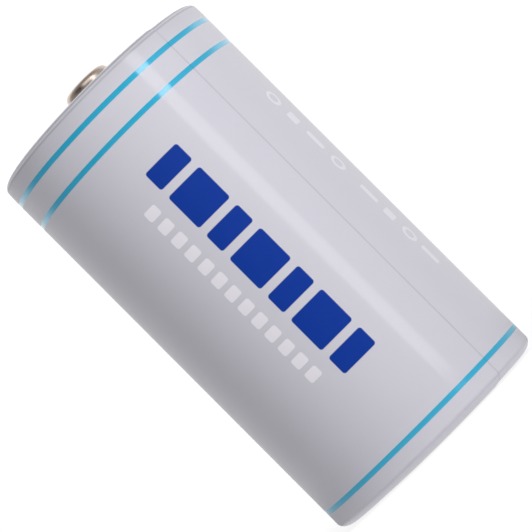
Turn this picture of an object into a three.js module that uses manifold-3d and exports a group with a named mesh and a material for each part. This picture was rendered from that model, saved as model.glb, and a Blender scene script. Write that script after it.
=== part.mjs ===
// C-size (26 x 50 mm class) rechargeable battery cell with a constant 1.5 V output.
//
// A printed film is wound round a deep-drawn steel can. Inside stand a small lithium-ion cell in a
// plastic carrier and, above it, a round regulator board that carries the positive terminal.
//
// Frame: millimetres, +Z up, origin at the centre of the negative contact face, which the cell
// stands on. Angles are measured from the front (-Y) towards +X.

import * as THREE from "three";
import { mergeVertices } from "three/addons/utils/BufferGeometryUtils.js";
import Module from "manifold-3d";

const wasm = await Module();
wasm.setup();

// ---- Driving dimensions -------------------------------------------------------------------------

const CELL_RADIUS = 13.0; // over one layer of film
const TERMINAL_TOP = 49.5; // overall height
const FILM_TOP = 47.5;
const FILM_BOTTOM = 0.2; // the contact face stands this far proud of the film
const FILM = 0.12; // film thickness
const FILM_GAP = 0.02; // between the two layers at the overlap
const FILM_LIP_RADIUS = 10.9; // how far the shrunk lips reach in
const CORNER_REACH = 1.1; // radial reach of both rounded film corners
const TOP_CORNER_RISE = 0.6;
const BOTTOM_CORNER_RISE = 1.0;
const OVERLAP_START = 30; // degrees: the hidden end of the film
const OVERLAP_END = 40; // degrees: the film edge that shows

const CAN_WALL = 0.3;
const CAN_RADIUS = CELL_RADIUS - FILM - 0.04; // the film shrinks onto it
const CAN_INNER_RADIUS = CAN_RADIUS - CAN_WALL;
const CAN_TOP = 47.1;
const CAN_LIP_RADIUS = 11.0;
const CAN_LOW_CENTRE = [11.85, 1.25]; // centres of the can's two rounded corners
const CAN_HIGH_CENTRE = [12.0, 46.45];
const CONTACT_RADIUS = 8.6; // flat negative contact
const CONTACT_RISE = 0.36; // how far it stands below the ring round it

const TERMINAL_RADIUS = 2.65;
const TERMINAL_SHEET = 0.3;
const TERMINAL_FLANGE_RADIUS = 4.0;

const BOARD_RADIUS = 11.6;
const BOARD_TOP = 45.3;
const BOARD_THICKNESS = 0.8;
const BOARD_BOTTOM = BOARD_TOP - BOARD_THICKNESS;
const SOLDER = 0.05; // gap under every soldered part
const CLEARANCE = 0.04; // between pieces that rest on each other

const INNER_RADIUS = 11.0; // lithium-ion cell over its own sleeve
const INNER_BOTTOM = 1.5;
const INNER_CAN_RADIUS = 10.84;
const INNER_CAN_WALL = 0.25;
const INNER_CAN_BOTTOM = 1.65;
const INNER_CAN_TOP = 39.4;
const CAP_TOP = INNER_CAN_TOP + 0.55; // top of the lithium-ion cell's own positive cap
const STRIP = 0.15; // thickness of the nickel strips
const TAB = 0.1; // thickness of the electrode tabs

const ROLL_START_RADIUS = 1.75;
const ROLL_PITCH = 1.86; // one turn of anode, cathode and two separators
const ROLL_TURNS = 3.625;

const BIG_STEPS = 36; // facets of a full turn on the outer pieces
const INNER_STEPS = 24; // on the lithium-ion cell
const SMALL_STEPS = 16; // on small round parts

// ---- Materials ----------------------------------------------------------------------------------

function material(color, roughness, metalness = 0) {
  return new THREE.MeshStandardMaterial({ color, roughness, metalness });
}

const PRINTED_FILM = material(0xc9c9d3, 0.3);
const NICKEL_STEEL = material(0xc9c2b8, 0.25, 1);
const WHITE_PLASTIC = material(0xe6e6e2, 0.5);
const PAPER = material(0xdfe3dc, 0.8);
const NYLON = material(0xd8d4c4, 0.5);
const BLACK_PLASTIC = material(0x26272a, 0.5);
const FOAM = material(0x3a3a3d, 0.95);
const BOARD_GREEN = material(0x1d5b3a, 0.4);
const FERRITE = material(0x3c3a3b, 0.6);
const COPPER = material(0xb8703f, 0.3, 1);
const CHIP = material(0x1b1b1d, 0.45);
const CERAMIC = material(0xb59a77, 0.5);
const RESISTOR = material(0x202024, 0.4);
const NICKEL_STRIP = material(0xb9b8b2, 0.35, 1);
const BLUE_SLEEVE = material(0x2d5f9e, 0.35);
const ALUMINIUM = material(0xbfc2c6, 0.35, 1);
const CATHODE_BLACK = material(0x2c2d31, 0.85);
const ANODE_COPPER = material(0x6b4a3a, 0.7, 0.3);
const SEPARATOR = material(0xf0f0ee, 0.6);
const PTC = material(0x3f4344, 0.7);

// ---- Shapes -------------------------------------------------------------------------------------

const cell = new THREE.Group();

function add(name, geometry, look) {
  const mesh = new THREE.Mesh(geometry, look);
  mesh.name = name;
  cell.add(mesh);
  return mesh;
}

// A solid of revolution about Z. The profile is a list of [radius, height], running round the
// section anticlockwise with the axis on its left: up the outside and down the inside.
function turned(profile, steps, closed = true) {
  const points = profile.map(([r, z]) => new THREE.Vector2(r, z));
  if (closed) points.push(points[0].clone());
  return new THREE.LatheGeometry(points, steps).rotateX(Math.PI / 2);
}

// A flat ring or disc between two heights. A disc has an inner radius of 0.
function ring(inner, outer, low, high, steps) {
  if (inner === 0) return turned([[0, low], [outer, low], [outer, high], [0, high]], steps, false);
  return turned([[inner, low], [outer, low], [outer, high], [inner, high]], steps);
}

// Points of a quarter ellipse about [r, z], from one angle to the other, in degrees.
function corner([r, z], reach, rise, from, to, pieces = 3) {
  const points = [];
  for (let i = 0; i <= pieces; i++) {
    const a = THREE.MathUtils.degToRad(from + ((to - from) * i) / pieces);
    points.push([r + reach * Math.cos(a), z + rise * Math.sin(a)]);
  }
  return points;
}

// A box from its lowest to its highest corner.
function block([x0, y0, z0], [x1, y1, z1]) {
  const box = new THREE.BoxGeometry(x1 - x0, y1 - y0, z1 - z0);
  return box.translate((x0 + x1) / 2, (y0 + y1) / 2, (z0 + z1) / 2);
}

// A bent metal strip: a ribbon outline in the XZ plane, extruded along Y to the given width.
function bentStrip(outline, width) {
  const shape = new THREE.Shape(outline.map(([x, z]) => new THREE.Vector2(x, z)));
  const strip = new THREE.ExtrudeGeometry(shape, { depth: width, bevelEnabled: false });
  return strip.translate(0, 0, -width / 2).rotateX(Math.PI / 2);
}

// A geometry as a manifold-3d solid, and a solid as a geometry.
function solid(geometry) {
  const bare = geometry.clone().deleteAttribute("normal").deleteAttribute("uv");
  const merged = mergeVertices(bare, 1e-3);
  return new wasm.Manifold(
    new wasm.Mesh({
      numProp: 3,
      vertProperties: new Float32Array(merged.attributes.position.array),
      triVerts: new Uint32Array(merged.index.array),
    }),
  );
}

function geometryOf(made) {
  const mesh = made.getMesh();
  const geometry = new THREE.BufferGeometry();
  geometry.setAttribute("position", new THREE.BufferAttribute(mesh.vertProperties, 3));
  geometry.setIndex(new THREE.BufferAttribute(mesh.triVerts, 1));
  return geometry;
}

function cut(geometry, tools) {
  return geometryOf(tools.reduce((left, tool) => left.subtract(solid(tool)), solid(geometry)));
}

// An upright pin at [x, y], used as a cutting tool for holes.
function pin(x, y, radius, low, high, steps = 12) {
  return ring(0, radius, low, high, steps).translate(x, y, 0);
}

// One sheet of the wound electrode roll: a spiral ribbon standing on Z, inset at both ends.
function woundSheet(offset, thickness, inset) {
  const stepsTotal = Math.round(ROLL_TURNS * INNER_STEPS);
  const outline = [];
  const spiral = (i, extra) => {
    const turns = i / INNER_STEPS;
    const angle = 2 * Math.PI * turns;
    const radius = ROLL_START_RADIUS + ROLL_PITCH * turns + extra;
    outline.push(new THREE.Vector2(radius * Math.sin(angle), -radius * Math.cos(angle)));
  };
  for (let i = 0; i <= stepsTotal; i++) spiral(i, offset + thickness);
  for (let i = stepsTotal; i >= 0; i--) spiral(i, offset);
  const shape = new THREE.Shape(outline);
  const depth = ROLL_HIGH - ROLL_LOW - 2 * inset;
  const sheet = new THREE.ExtrudeGeometry(shape, { depth, bevelEnabled: false });
  return sheet.translate(0, 0, ROLL_LOW + inset);
}

// ---- Outer film ---------------------------------------------------------------------------------

// The film's section with both shrunk lips, as a closed loop of [radius, height].
function filmSection() {
  const shoulder = CELL_RADIUS - CORNER_REACH;
  const lowCentre = [shoulder, FILM_BOTTOM + BOTTOM_CORNER_RISE];
  const highCentre = [shoulder, FILM_TOP - TOP_CORNER_RISE];
  const outside = [
    [FILM_LIP_RADIUS, FILM_BOTTOM],
    ...corner(lowCentre, CORNER_REACH, BOTTOM_CORNER_RISE, -90, 0),
    ...corner(highCentre, CORNER_REACH, TOP_CORNER_RISE, 0, 90),
    [FILM_LIP_RADIUS, FILM_TOP],
  ];
  const inside = [
    [FILM_LIP_RADIUS, FILM_TOP - FILM],
    ...corner(highCentre, CORNER_REACH - FILM, TOP_CORNER_RISE - FILM, 90, 0),
    ...corner(lowCentre, CORNER_REACH - FILM, BOTTOM_CORNER_RISE - FILM, 0, -90),
    [FILM_LIP_RADIUS, FILM_BOTTOM + FILM],
  ];
  return [...outside, ...inside];
}

// The film goes once round from its hidden end and laps over it. In the last step before the
// overlap it climbs by one thickness, outwards on the wall and up or down on the lips.
function woundFilm() {
  const section = filmSection();
  const middle = (FILM_TOP + FILM_BOTTOM) / 2;
  const climb = FILM + FILM_GAP;
  const halfHeight = (FILM_TOP - FILM_BOTTOM) / 2;
  const stepAngle = 360 / BIG_STEPS;
  const steps = (360 + OVERLAP_END - OVERLAP_START) / stepAngle;
  const positions = [];
  for (let i = 0; i <= steps; i++) {
    const angle = THREE.MathUtils.degToRad(OVERLAP_START + i * stepAngle);
    const lift = i * stepAngle >= 360 ? climb : 0;
    for (const [r, z] of section) {
      const radius = r + (lift * (r - FILM_LIP_RADIUS)) / (CELL_RADIUS - FILM_LIP_RADIUS);
      const height = z + (lift * (z - middle)) / halfHeight;
      positions.push(radius * Math.sin(angle), -radius * Math.cos(angle), height);
    }
  }
  const n = section.length;
  const index = [];
  for (let i = 0; i < steps; i++) {
    for (let k = 0; k < n; k++) {
      const a = i * n + k;
      const b = i * n + ((k + 1) % n);
      index.push(a, a + n, b, b, a + n, b + n);
    }
  }
  const outline = section.map(([r, z]) => new THREE.Vector2(r, z));
  for (const [a, b, c] of THREE.ShapeUtils.triangulateShape(outline, [])) {
    index.push(a, b, c);
    const last = steps * n;
    index.push(last + a, last + c, last + b);
  }
  const film = new THREE.BufferGeometry();
  film.setAttribute("position", new THREE.Float32BufferAttribute(positions, 3));
  film.setIndex(index);
  return film;
}

add("label_film", woundFilm(), PRINTED_FILM);

// ---- Outer can, washer, end cap and terminals ---------------------------------------------------

function outerCan() {
  const [lowRadius, lowHeight] = CAN_LOW_CENTRE;
  const [highRadius, highHeight] = CAN_HIGH_CENTRE;
  const lowRise = lowHeight - CONTACT_RISE;
  const highRise = CAN_TOP - highHeight;
  const [outer, inner] = [CAN_RADIUS, CAN_INNER_RADIUS];
  const slope = 0.4; // radial reach of the contact boss's side
  return turned(
    [
      [0, 0],
      [CONTACT_RADIUS, 0],
      [CONTACT_RADIUS + slope, CONTACT_RISE],
      ...corner(CAN_LOW_CENTRE, outer - lowRadius, lowRise, -90, 0),
      ...corner(CAN_HIGH_CENTRE, outer - highRadius, highRise, 0, 90),
      [CAN_LIP_RADIUS, CAN_TOP],
      [CAN_LIP_RADIUS, CAN_TOP - CAN_WALL],
      ...corner(CAN_HIGH_CENTRE, inner - highRadius, highRise - CAN_WALL, 90, 0, 2),
      ...corner(CAN_LOW_CENTRE, inner - lowRadius, lowRise - CAN_WALL, 0, -90, 2),
      [CONTACT_RADIUS + slope + CAN_WALL / 2, CONTACT_RISE + CAN_WALL],
      [CONTACT_RADIUS + CAN_WALL / 2, CAN_WALL],
      [0, CAN_WALL],
    ],
    BIG_STEPS,
    false,
  );
}
add("outer_can", outerCan(), NICKEL_STEEL);

const WASHER_LOW = CAN_TOP + 0.03;
add("insulating_washer", ring(9.4, 11.8, WASHER_LOW, WASHER_LOW + 0.2, BIG_STEPS), PAPER);

// L-shaped seal between the end cap's rim and the can's crimped lip.
const GASKET = 0.26;
const GASKET_RADIUS = CAN_INNER_RADIUS - 0.06;
const GASKET_TOP = CAN_TOP - CAN_WALL - CLEARANCE;
function endCapGasket() {
  const low = BOARD_TOP - 0.7;
  const inner = GASKET_RADIUS - GASKET;
  const lip = CAN_LIP_RADIUS + 0.1;
  return turned(
    [
      [inner, low],
      [GASKET_RADIUS, low],
      [GASKET_RADIUS, CAN_HIGH_CENTRE[1]],
      [CAN_HIGH_CENTRE[0], GASKET_TOP],
      [lip, GASKET_TOP],
      [lip, GASKET_TOP - GASKET],
      [inner, GASKET_TOP - GASKET],
    ],
    BIG_STEPS,
  );
}
add("end_cap_gasket", endCapGasket(), NYLON);

// The end cap rests on the board, holds the terminal down and has three gas vents.
const VENTS = 3;
const VENT_CIRCLE = 6.9;
const CAP_FACE = 47.0;
const CAP_HUB = 47.3;
function endCap() {
  const hole = TERMINAL_RADIUS + 0.1;
  const pocket = TERMINAL_FLANGE_RADIUS + 0.2;
  const underside = BOARD_TOP + CLEARANCE;
  const pocketTop = underside + TERMINAL_SHEET + 0.12;
  const rim = GASKET_RADIUS - GASKET - 0.06;
  const rimTop = GASKET_TOP - GASKET - CLEARANCE;
  const body = turned(
    [
      [pocket, underside],
      [rim, underside],
      [rim, rimTop],
      [CAN_LIP_RADIUS - 0.1, rimTop],
      [CAN_LIP_RADIUS - 0.2, CAP_FACE],
      [4.5, CAP_FACE],
      [4.2, CAP_HUB],
      [hole, CAP_HUB],
      [hole, pocketTop],
      [pocket, pocketTop],
    ],
    BIG_STEPS,
  );
  const vents = [];
  for (let i = 0; i < VENTS; i++) {
    const angle = (2 * Math.PI * (i + 0.5)) / VENTS;
    const [x, y] = [VENT_CIRCLE * Math.sin(angle), -VENT_CIRCLE * Math.cos(angle)];
    vents.push(pin(x, y, 0.55, underside - 1, CAP_FACE + 1, 10));
  }
  return cut(body, vents);
}
add("end_cap", endCap(), WHITE_PLASTIC);

// Pressed steel hat, soldered to the middle of the board by its flange.
function positiveTerminal() {
  const foot = BOARD_TOP + SOLDER;
  const edge = 0.7; // radius of the top edge
  const inside = TERMINAL_RADIUS - TERMINAL_SHEET;
  return turned(
    [
      [inside, foot],
      [TERMINAL_FLANGE_RADIUS, foot],
      [TERMINAL_FLANGE_RADIUS, foot + TERMINAL_SHEET],
      [TERMINAL_RADIUS, foot + TERMINAL_SHEET],
      ...corner([TERMINAL_RADIUS - edge, TERMINAL_TOP - edge], edge, edge, 0, 90, 3),
      [0, TERMINAL_TOP],
      [0, TERMINAL_TOP - TERMINAL_SHEET],
      ...corner([inside - 0.4, TERMINAL_TOP - 0.7], 0.4, 0.4, 90, 0, 2),
      [inside, foot],
    ],
    INNER_STEPS,
    false,
  );
}
add("positive_terminal", positiveTerminal(), NICKEL_STEEL);

// Sprung ring that ties the board's ground track to the can wall.
const GROUND_TOP = BOARD_BOTTOM - SOLDER;
const GROUND_SHEET = 0.2;
function groundRing() {
  const outer = CAN_INNER_RADIUS - 0.08;
  const inner = BOARD_RADIUS - 1.3;
  const skirt = GROUND_TOP - 1.5;
  return turned(
    [
      [inner, GROUND_TOP - GROUND_SHEET],
      [outer - GROUND_SHEET, GROUND_TOP - GROUND_SHEET],
      [outer - GROUND_SHEET, skirt],
      [outer, skirt],
      [outer, GROUND_TOP],
      [inner, GROUND_TOP],
    ],
    BIG_STEPS,
  );
}
add("ground_ring", groundRing(), NICKEL_STRIP);

// Plastic tube that centres the lithium-ion cell and carries the ground ring and the board.
function cellCarrier() {
  const inner = INNER_RADIUS + 0.2;
  const outer = CAN_INNER_RADIUS - 0.19;
  const neck = outer - 0.25; // fits inside the ground ring's skirt
  const foot = 1.6;
  const chamfer = 0.7;
  const top = GROUND_TOP - GROUND_SHEET - 0.05;
  return turned(
    [
      [inner, foot],
      [outer - chamfer - 0.05, foot],
      [outer, foot + chamfer],
      [outer, GROUND_TOP - 1.9],
      [neck, GROUND_TOP - 1.7],
      [neck, top],
      [inner, top],
    ],
    BIG_STEPS,
  );
}
add("cell_carrier", cellCarrier(), BLACK_PLASTIC);

const FOAM_LOW = CONTACT_RISE + CAN_WALL + 0.06;
add("bottom_foam_pad", ring(5.2, 10.6, FOAM_LOW, FOAM_LOW + 0.7, BIG_STEPS), FOAM);

// Strip folded back on itself, between the lithium-ion cell's base and the floor of the can.
function negativeStrip() {
  const [low, high] = [CAN_WALL + CLEARANCE, INNER_BOTTOM - 0.05];
  const [end, fold] = [-4, 4.3];
  const outline = [
    [end, low],
    [fold, low],
    [fold, high],
    [end, high],
    [end, high - STRIP],
    [fold - STRIP, high - STRIP],
    [fold - STRIP, low + STRIP],
    [end, low + STRIP],
  ];
  return bentStrip(outline, 4);
}
add("negative_strip", negativeStrip(), NICKEL_STRIP);

// ---- Regulator board ----------------------------------------------------------------------------

// Round board with two holes that place it in its panel.
function board() {
  const disc = ring(0, BOARD_RADIUS, BOARD_BOTTOM, BOARD_TOP, BIG_STEPS);
  const hole = (x) => pin(x, 5.4, 0.6, BOARD_BOTTOM - 1, BOARD_TOP + 1);
  return cut(disc, [hole(-8.6), hole(8.6)]);
}
add("regulator_board", board(), BOARD_GREEN);

// Everything on the board hangs from its underside. A part is given by its middle and its size.
const MOUNTED = BOARD_BOTTOM - SOLDER;
function mounted(name, [x, y], [length, width, height], look) {
  const low = [x - length / 2, y - width / 2, MOUNTED - height];
  const high = [x + length / 2, y + width / 2, MOUNTED];
  add(name, block(low, high), look);
}

// Shielded power inductor: ferrite drum, copper winding, square shield and two clip terminals.
const COIL = { x: -4.6, y: -2.2, half: 2.9, height: 2.9 };
function inductor() {
  const top = MOUNTED - 0.22;
  const bottom = MOUNTED - COIL.height;
  const flange = 0.55;
  const core = turned(
    [
      [0, bottom],
      [2.2, bottom],
      [2.2, bottom + flange],
      [1.0, bottom + flange],
      [1.0, top - flange],
      [2.2, top - flange],
      [2.2, top],
      [0, top],
    ],
    SMALL_STEPS,
    false,
  );
  add("inductor_core", core.translate(COIL.x, COIL.y, 0), FERRITE);
  const coil = ring(1.1, 2.1, bottom + flange + 0.05, top - flange - 0.05, SMALL_STEPS);
  add("inductor_winding", coil.translate(COIL.x, COIL.y, 0), COPPER);

  const chamfer = 0.7;
  const h = COIL.half;
  const square = new THREE.Shape(
    [
      [h - chamfer, -h], [h, -h + chamfer], [h, h - chamfer], [h - chamfer, h],
      [-h + chamfer, h], [-h, h - chamfer], [-h, -h + chamfer], [-h + chamfer, -h],
    ].map(([x, y]) => new THREE.Vector2(x, y)),
  );
  const bore = new THREE.Path();
  bore.absarc(0, 0, 2.3, 0, 2 * Math.PI, true);
  square.holes.push(bore);
  const options = { depth: top - bottom, bevelEnabled: false, curveSegments: SMALL_STEPS };
  const shield = new THREE.ExtrudeGeometry(square, options);
  add("inductor_shield", shield.translate(COIL.x, COIL.y, bottom), FERRITE);

  for (const [name, side] of [["inductor_terminal_left", -1], ["inductor_terminal_right", 1]]) {
    const near = COIL.x + side * 1.2;
    const far = COIL.x + side * (COIL.half - 0.1);
    const low = [Math.min(near, far), COIL.y - 1.1, top + 0.04];
    add(name, block(low, [Math.max(near, far), COIL.y + 1.1, MOUNTED]), NICKEL_STRIP);
  }
}
inductor();

mounted("buck_converter_chip", [1.6, -2.6], [3.0, 3.0, 0.85], CHIP);
mounted("protection_chip", [1.5, 2.4], [2.9, 1.6, 1.1], CHIP);
mounted("power_transistor", [-3.4, 4.6], [4.0, 3.0, 1.0], CHIP);
const CAPACITORS = [
  ["input_capacitor_1", [1.4, -7.6], [3.2, 2.5, 1.9]],
  ["input_capacitor_2", [-3.2, -7.6], [3.2, 2.5, 1.9]],
  ["output_capacitor_1", [2.4, 7.4], [3.2, 2.5, 1.9]],
  ["output_capacitor_2", [-2.4, 8.4], [3.2, 2.0, 1.4]],
];
for (const [name, place, size] of CAPACITORS) mounted(name, place, size, CERAMIC);
const RESISTORS = [
  ["feedback_resistor_1", [0.9, -0.2], [1.6, 0.8, 0.45]],
  ["feedback_resistor_2", [0.9, 0.95], [1.6, 0.8, 0.45]],
  ["sense_resistor", [-8.8, 1.9], [1.6, 3.2, 0.6]],
];
for (const [name, place, size] of RESISTORS) mounted(name, place, size, RESISTOR);

// Strip from the lithium-ion cell's cap, out to the side and up to the board's input pad.
const STRIP_X = 8.2;
function positiveStrip() {
  const low = CAP_TOP + CLEARANCE;
  const pad = STRIP_X - 2.6;
  const outline = [
    [-3, low],
    [STRIP_X, low],
    [STRIP_X, MOUNTED],
    [pad, MOUNTED],
    [pad, MOUNTED - STRIP],
    [STRIP_X - STRIP, MOUNTED - STRIP],
    [STRIP_X - STRIP, low + STRIP],
    [-3, low + STRIP],
  ];
  return bentStrip(outline, 4);
}
add("positive_strip", positiveStrip(), NICKEL_STRIP);

// Fish-paper disc that keeps the board's parts off the cell, with a slot for the strip.
const PAPER_LOW = CAP_TOP + 0.4;
const slot = block([STRIP_X - 0.6, -2.4, PAPER_LOW - 1], [STRIP_X + 0.5, 2.4, PAPER_LOW + 1]);
add("board_insulator", cut(ring(0, 10.9, PAPER_LOW, PAPER_LOW + 0.25, BIG_STEPS), [slot]), PAPER);

// ---- Lithium-ion cell ---------------------------------------------------------------------------

// A height measured down from the top of this cell's can.
const down = (distance) => INNER_CAN_TOP - distance;

function innerSleeve() {
  const sheet = 0.1;
  return turned(
    [
      [9.3, INNER_BOTTOM],
      [10.2, INNER_BOTTOM],
      [INNER_RADIUS, INNER_BOTTOM + 0.7],
      [INNER_RADIUS, down(0.4)],
      [10.5, down(-0.32)],
      [9.3, down(-0.32)],
      [9.3, down(-0.22)],
      [10.45, down(-0.22)],
      [INNER_RADIUS - sheet, down(0.44)],
      [INNER_RADIUS - sheet, INNER_BOTTOM + 0.76],
      [10.14, INNER_BOTTOM + sheet],
      [9.3, INNER_BOTTOM + sheet],
    ],
    INNER_STEPS,
  );
}
add("inner_cell_sleeve", innerSleeve(), BLUE_SLEEVE);

// Can with a rolled groove, which holds the roll down and seats the gasket, and a crimped lip.
const GROOVE = { height: down(3.8), half: 0.9, depth: 1.1 };
function innerCan() {
  const inner = INNER_CAN_RADIUS - INNER_CAN_WALL;
  const groove = (radius, half) => [
    [radius, GROOVE.height - half],
    [radius - 0.8 * GROOVE.depth, GROOVE.height - 0.45 * half],
    [radius - GROOVE.depth, GROOVE.height],
    [radius - 0.8 * GROOVE.depth, GROOVE.height + 0.45 * half],
    [radius, GROOVE.height + half],
  ];
  return turned(
    [
      [0, INNER_CAN_BOTTOM],
      [10.0, INNER_CAN_BOTTOM],
      [INNER_CAN_RADIUS, INNER_CAN_BOTTOM + 0.75],
      ...groove(INNER_CAN_RADIUS, GROOVE.half),
      [INNER_CAN_RADIUS, down(0.6)],
      [10.3, INNER_CAN_TOP],
      [9.0, INNER_CAN_TOP],
      [9.0, down(INNER_CAN_WALL)],
      [10.2, down(INNER_CAN_WALL)],
      [inner, down(0.7)],
      ...groove(inner, GROOVE.half + 0.1).reverse(),
      [inner, INNER_CAN_BOTTOM + 0.85],
      [9.9, INNER_CAN_BOTTOM + INNER_CAN_WALL],
      [0, INNER_CAN_BOTTOM + INNER_CAN_WALL],
    ],
    INNER_STEPS,
    false,
  );
}
add("inner_cell_can", innerCan(), NICKEL_STEEL);

add("inner_cell_washer", ring(6.6, 10.3, down(-0.03), down(-0.18), INNER_STEPS), PAPER);

// C-shaped seal that wraps the edges of the stacked cap parts.
const SEAL_TOP = down(INNER_CAN_WALL + 0.04);
function innerGasket() {
  const flap = 0.25;
  return turned(
    [
      [8.4, down(2.65)],
      [10.52, down(2.65)],
      [10.52, down(0.75)],
      [10.15, SEAL_TOP],
      [9.1, SEAL_TOP],
      [9.1, SEAL_TOP - flap],
      [10.24, SEAL_TOP - flap],
      [10.24, down(2.65 - flap)],
      [8.4, down(2.65 - flap)],
    ],
    INNER_STEPS,
  );
}
add("inner_cell_gasket", innerGasket(), NYLON);

// Positive cap with gas vents in its raised wall.
function innerCap() {
  const sheet = 0.25;
  const seat = down(0.88);
  const body = turned(
    [
      [4.6, seat],
      [10.1, seat],
      [10.1, seat + sheet],
      [4.85, seat + sheet],
      [4.5, CAP_TOP],
      [0, CAP_TOP],
      [0, CAP_TOP - sheet],
      [4.2, CAP_TOP - sheet],
      [4.6, seat],
    ],
    INNER_STEPS,
    false,
  );
  const vents = [];
  for (let i = 0; i < VENTS; i++) {
    const vent = block([-0.8, 3.6, seat + 0.43], [0.8, 5.4, seat + 1.03]);
    vents.push(vent.rotateZ((2 * Math.PI * i) / VENTS));
  }
  return cut(body, vents);
}
add("inner_cell_cap", innerCap(), NICKEL_STEEL);

add("ptc_ring", ring(6.8, 10.1, down(1.28), down(0.94), INNER_STEPS), PTC);

// Aluminium disc that domes down to the current breaker and bursts along its groove.
function burstDisc() {
  return turned(
    [
      [0, down(1.88)],
      [1.6, down(1.88)],
      [5.0, down(1.62)],
      [10.1, down(1.62)],
      [10.1, down(1.34)],
      [4.9, down(1.34)],
      [3.2, down(1.5)],
      [3.0, down(1.6)],
      [2.8, down(1.53)],
      [1.6, down(1.64)],
      [0, down(1.64)],
    ],
    INNER_STEPS,
    false,
  );
}
add("burst_disc", burstDisc(), ALUMINIUM);

add("breaker_insulator", ring(6.6, 10.1, down(1.98), down(1.68), INNER_STEPS), NYLON);

// Lower plate of the current breaker, with a weld boss in the middle and gas holes round it.
const PLATE_HOLES = 4;
const PLATE_LOW = down(2.34);
function breakerPlate() {
  const plate = turned(
    [
      [0, PLATE_LOW],
      [10.1, PLATE_LOW],
      [10.1, PLATE_LOW + 0.3],
      [2.4, PLATE_LOW + 0.3],
      [1.5, PLATE_LOW + 0.41],
      [0, PLATE_LOW + 0.41],
    ],
    INNER_STEPS,
    false,
  );
  const holes = [];
  for (let i = 0; i < PLATE_HOLES; i++) {
    const angle = (2 * Math.PI * (i + 0.5)) / PLATE_HOLES;
    const [x, y] = [4.4 * Math.sin(angle), -4.4 * Math.cos(angle)];
    holes.push(pin(x, y, 0.7, PLATE_LOW - 1, PLATE_LOW + 1, 10));
  }
  return cut(plate, holes);
}
add("breaker_plate", breakerPlate(), ALUMINIUM);

// The wound roll: separator, anode, separator, cathode, each a spiral ribbon.
const ROLL_LOW = 2.55;
const ROLL_HIGH = down(4.9);
const ANODE_INSET = 0.4; // the separators overhang both electrodes
const CATHODE_INSET = 0.7;
add("separator_inner", woundSheet(0, 0.16, 0), SEPARATOR);
add("anode_sheet", woundSheet(0.22, 0.64, ANODE_INSET), ANODE_COPPER);
add("separator_outer", woundSheet(0.92, 0.16, 0), SEPARATOR);
add("cathode_sheet", woundSheet(1.14, 0.66, CATHODE_INSET), CATHODE_BLACK);

add("centre_pin", ring(1.2, 1.55, ROLL_LOW + 0.25, ROLL_HIGH - 0.25, SMALL_STEPS), NICKEL_STEEL);

// Aluminium tab from the cathode, through the upper insulator, to the breaker plate.
const TAB_X = 5.6;
const TAB_TOP = PLATE_LOW - 0.06;
const CATHODE_TAB = [
  [TAB_X, ROLL_HIGH + 0.06],
  [TAB_X + TAB, ROLL_HIGH + 0.06],
  [TAB_X + TAB, TAB_TOP],
  [-1.5, TAB_TOP],
  [-1.5, TAB_TOP - TAB],
  [TAB_X, TAB_TOP - TAB],
];
add("cathode_tab", bentStrip(CATHODE_TAB, 3), ALUMINIUM);

const disc = ring(1.7, 9.3, ROLL_HIGH + 0.1, ROLL_HIGH + 0.3, INNER_STEPS);
const tabSlot = block([TAB_X - 0.35, -1.9, ROLL_HIGH - 1], [TAB_X + 0.45, 1.9, ROLL_HIGH + 1]);
add("upper_insulator", cut(disc, [tabSlot]), SEPARATOR);

// Nickel tab from the anode, folded under the lower insulator to the can's floor.
const TAB_LOW = INNER_CAN_BOTTOM + INNER_CAN_WALL + 0.04;
const ANODE_TAB = [
  [-1.5, TAB_LOW],
  [9.3, TAB_LOW],
  [9.3, ROLL_LOW - 0.05],
  [9.3 - TAB, ROLL_LOW - 0.05],
  [9.3 - TAB, TAB_LOW + TAB],
  [-1.5, TAB_LOW + TAB],
];
add("anode_tab", bentStrip(ANODE_TAB, 3), NICKEL_STRIP);
add("lower_insulator", ring(1.7, 9.05, TAB_LOW + 0.18, TAB_LOW + 0.38, INNER_STEPS), SEPARATOR);

export default cell;
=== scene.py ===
"""A C-size rechargeable battery cell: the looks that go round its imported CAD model.

The frame is the CAD's, in metres: +Z towards the positive terminal, the front of the label at -Y.
Shapes are worked out in millimetres and scaled once, when a mesh is made.
"""

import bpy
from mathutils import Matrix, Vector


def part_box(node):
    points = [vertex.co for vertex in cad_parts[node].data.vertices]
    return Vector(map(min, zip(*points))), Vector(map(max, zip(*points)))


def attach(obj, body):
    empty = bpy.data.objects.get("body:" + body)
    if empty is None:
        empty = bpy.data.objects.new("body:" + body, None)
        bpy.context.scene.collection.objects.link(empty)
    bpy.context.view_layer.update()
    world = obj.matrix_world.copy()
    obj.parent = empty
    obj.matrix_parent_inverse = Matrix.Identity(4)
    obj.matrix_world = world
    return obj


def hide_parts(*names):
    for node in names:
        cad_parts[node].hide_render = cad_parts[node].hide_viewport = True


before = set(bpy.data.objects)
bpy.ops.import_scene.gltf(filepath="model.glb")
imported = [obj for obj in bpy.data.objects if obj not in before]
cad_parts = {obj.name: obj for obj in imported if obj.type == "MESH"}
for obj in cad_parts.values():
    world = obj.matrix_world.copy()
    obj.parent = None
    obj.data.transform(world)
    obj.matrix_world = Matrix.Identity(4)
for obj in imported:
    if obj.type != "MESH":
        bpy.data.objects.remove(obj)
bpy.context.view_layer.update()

import math  # noqa: E402

import bmesh  # noqa: E402
import bpy  # noqa: E402
from mathutils import Matrix, Vector  # noqa: E402

MM = 0.001


# ---- Sizes read from the CAD model ----


def limits(node):
    """A CAD node's lowest and highest corners, in millimetres."""
    low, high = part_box(node)
    return Vector(low) / MM, Vector(high) / MM


def extent(node):
    """A round node's lowest and highest heights and its outer radius, in millimetres."""
    low, high = limits(node)
    return low.z, high.z, -low.x


def middle(node):
    """A node's middle and its size along each axis, in millimetres."""
    low, high = limits(node)
    return (low + high) / 2, high - low


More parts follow.
